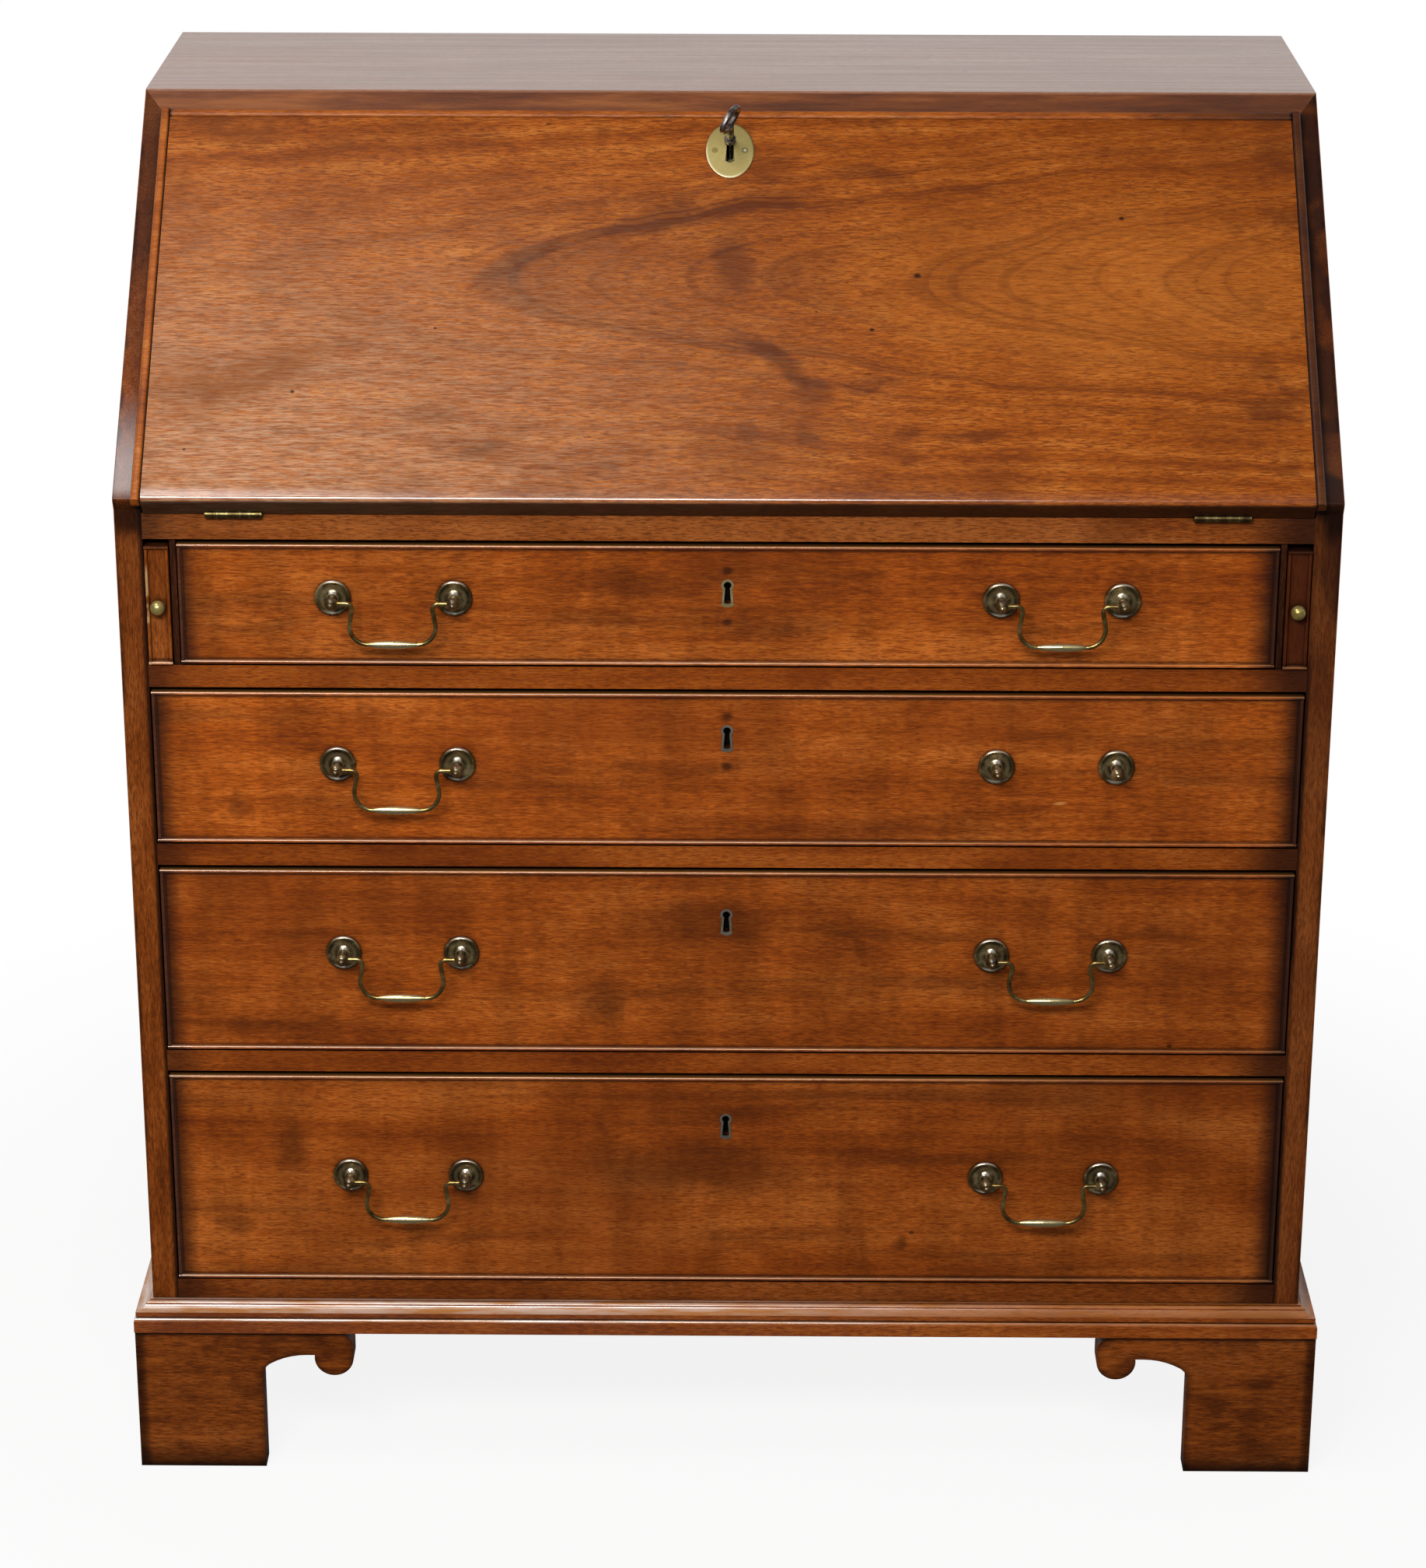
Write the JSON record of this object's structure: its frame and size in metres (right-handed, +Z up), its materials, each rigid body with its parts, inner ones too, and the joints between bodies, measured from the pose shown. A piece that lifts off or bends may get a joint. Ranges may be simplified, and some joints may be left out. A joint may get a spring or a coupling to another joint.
{
  "type": "slant-front bureau",
  "caption": "Slant-front writing bureau with a hinged fall on pull-out supports, pigeonholes, beaded drawers with swan-neck brass handles and scrolled bracket feet.",
  "frame": {"origin": "middle of the bounding box's underside, on the floor under the bureau", "axes": "+Z up, +Y from the front to the back, +X to the right seen from the front"},
  "size_m": [0.943, 0.5274, 1.0646],
  "materials": {
    "mahogany": "old wax polish, darkened at the edges",
    "figured_mahogany": "old wax polish over figured grain",
    "bead_mahogany": "polished, worn bright on the crest",
    "inner_mahogany": "dull polish",
    "oak": "bare, aged",
    "pine": "bare, aged",
    "aged_brass": "darkened, rubbed bright on the grips",
    "bright_brass": "polished",
    "steel": "dark, handled"
  },
  "bodies": {
    "carcass": {"side_left": "mahogany", "side_right": "mahogany", "top_board": "mahogany", "bottom_board": "mahogany", "back_boards": "pine", "writing_bed": "inner_mahogany", "bed_rail": "mahogany", "drawer_rails": "mahogany", "drawer_runners": "oak", "dust_boards": "oak", "loper_partitions": "inner_mahogany", "base_moulding": "mahogany", "base_back_rail": "pine", "foot_front_faces": "mahogany", "foot_side_faces": "mahogany", "foot_back_faces": "pine", "foot_blocks": "pine", "pigeonhole_shelf": "inner_mahogany", "pigeonhole_dividers": "inner_mahogany", "pigeonhole_valances": "inner_mahogany", "hinge_bed_leaves": "bright_brass", "lock_keep": "pine"},
    "fall": {"fall_panel": "figured_mahogany", "fall_beads": "bead_mahogany", "hinge_fall_leaves": "bright_brass", "fall_lock_case": "bright_brass", "fall_key_plate": "bright_brass"},
    "bolt": {"fall_bolt": "steel"},
    "key": {"key": "steel"},
    "loper_left": {"loper_left": "mahogany", "loper_knob_left": "bright_brass"},
    "loper_right": {"loper_right": "mahogany", "loper_knob_right": "bright_brass"},
    "drawer_1": {"drawer_1_front": "figured_mahogany", "drawer_1_box": "oak", "drawer_1_handle_posts": "aged_brass", "drawer_1_lock": "aged_brass"},
    "drawer_2": {"drawer_2_front": "figured_mahogany", "drawer_2_box": "oak", "drawer_2_handle_posts": "aged_brass", "drawer_2_lock": "aged_brass"},
    "drawer_3": {"drawer_3_front": "figured_mahogany", "drawer_3_box": "oak", "drawer_3_handle_posts": "aged_brass", "drawer_3_lock": "aged_brass"},
    "drawer_4": {"drawer_4_front": "figured_mahogany", "drawer_4_box": "oak", "drawer_4_handle_posts": "aged_brass", "drawer_4_lock": "aged_brass"},
    "drawer_1_bail_left": {"drawer_1_bail_left": "aged_brass"},
    "drawer_1_bail_right": {"drawer_1_bail_right": "aged_brass"},
    "drawer_2_bail_left": {"drawer_2_bail_left": "aged_brass"},
    "drawer_3_bail_left": {"drawer_3_bail_left": "aged_brass"},
    "drawer_3_bail_right": {"drawer_3_bail_right": "aged_brass"},
    "drawer_4_bail_left": {"drawer_4_bail_left": "aged_brass"},
    "drawer_4_bail_right": {"drawer_4_bail_right": "aged_brass"},
    "small_drawer_1": {"small_drawer_1": "inner_mahogany"},
    "small_drawer_2": {"small_drawer_2": "inner_mahogany"},
    "small_drawer_3": {"small_drawer_3": "inner_mahogany"},
    "small_drawer_4": {"small_drawer_4": "inner_mahogany"}
  },
  "joints": [
    {"name": "fall_hinge", "type": "hinge", "parent": "carcass", "child": "fall", "pos_m": [0, -0.24126, 0.8], "axis": [1, 0, 0], "range_deg": [0, 137.86]},
    {"name": "key_turn", "type": "hinge", "parent": "fall", "child": "key", "pos_m": [0, -0.00157, 1.01681], "axis": [0, 0.6708, -0.7416], "range_deg": [0, 90]},
    {"name": "bolt_throw", "type": "slide", "parent": "fall", "child": "bolt", "axis": [0, 0.7416, 0.6708], "range_m": [0, 0.008]},
    {"name": "loper_left_slide", "type": "slide", "parent": "carcass", "child": "loper_left", "axis": [0, -1, 0], "range_m": [0, 0.25]},
    {"name": "loper_right_slide", "type": "slide", "parent": "carcass", "child": "loper_right", "axis": [0, -1, 0], "range_m": [0, 0.25]},
    {"name": "drawer_1_slide", "type": "slide", "parent": "carcass", "child": "drawer_1", "axis": [0, -1, 0], "range_m": [0, 0.38]},
    {"name": "drawer_2_slide", "type": "slide", "parent": "carcass", "child": "drawer_2", "axis": [0, -1, 0], "range_m": [0, 0.38]},
    {"name": "drawer_3_slide", "type": "slide", "parent": "carcass", "child": "drawer_3", "axis": [0, -1, 0], "range_m": [0, 0.38]},
    {"name": "drawer_4_slide", "type": "slide", "parent": "carcass", "child": "drawer_4", "axis": [0, -1, 0], "range_m": [0, 0.38]},
    {"name": "drawer_1_bail_left_swing", "type": "hinge", "parent": "drawer_1", "child": "drawer_1_bail_left", "pos_m": [-0.25025, -0.25426, 0.7349], "axis": [-1, 0, 0], "range_deg": [0, 95]},
    {"name": "drawer_1_bail_right_swing", "type": "hinge", "parent": "drawer_1", "child": "drawer_1_bail_right", "pos_m": [0.25025, -0.25426, 0.7349], "axis": [-1, 0, 0], "range_deg": [0, 95]},
    {"name": "drawer_2_bail_left_swing", "type": "hinge", "parent": "drawer_2", "child": "drawer_2_bail_left", "pos_m": [-0.25025, -0.25426, 0.6019], "axis": [-1, 0, 0], "range_deg": [0, 95]},
    {"name": "drawer_3_bail_left_swing", "type": "hinge", "parent": "drawer_3", "child": "drawer_3_bail_left", "pos_m": [-0.25025, -0.25426, 0.44615], "axis": [-1, 0, 0], "range_deg": [0, 95]},
    {"name": "drawer_3_bail_right_swing", "type": "hinge", "parent": "drawer_3", "child": "drawer_3_bail_right", "pos_m": [0.25025, -0.25426, 0.44615], "axis": [-1, 0, 0], "range_deg": [0, 95]},
    {"name": "drawer_4_bail_left_swing", "type": "hinge", "parent": "drawer_4", "child": "drawer_4_bail_left", "pos_m": [-0.25025, -0.25426, 0.2554], "axis": [-1, 0, 0], "range_deg": [0, 95]},
    {"name": "drawer_4_bail_right_swing", "type": "hinge", "parent": "drawer_4", "child": "drawer_4_bail_right", "pos_m": [0.25025, -0.25426, 0.2554], "axis": [-1, 0, 0], "range_deg": [0, 95]},
    {"name": "small_drawer_1_slide", "type": "slide", "parent": "carcass", "child": "small_drawer_1", "axis": [0, -1, 0], "range_m": [0, 0.15]},
    {"name": "small_drawer_2_slide", "type": "slide", "parent": "carcass", "child": "small_drawer_2", "axis": [0, -1, 0], "range_m": [0, 0.15]},
    {"name": "small_drawer_3_slide", "type": "slide", "parent": "carcass", "child": "small_drawer_3", "axis": [0, -1, 0], "range_m": [0, 0.15]},
    {"name": "small_drawer_4_slide", "type": "slide", "parent": "carcass", "child": "small_drawer_4", "axis": [0, -1, 0], "range_m": [0, 0.15]}
  ],
  "couplings": [
    {"joint": "bolt_throw", "follows": "key_turn", "m_per_rad": 0.00509}
  ]
}
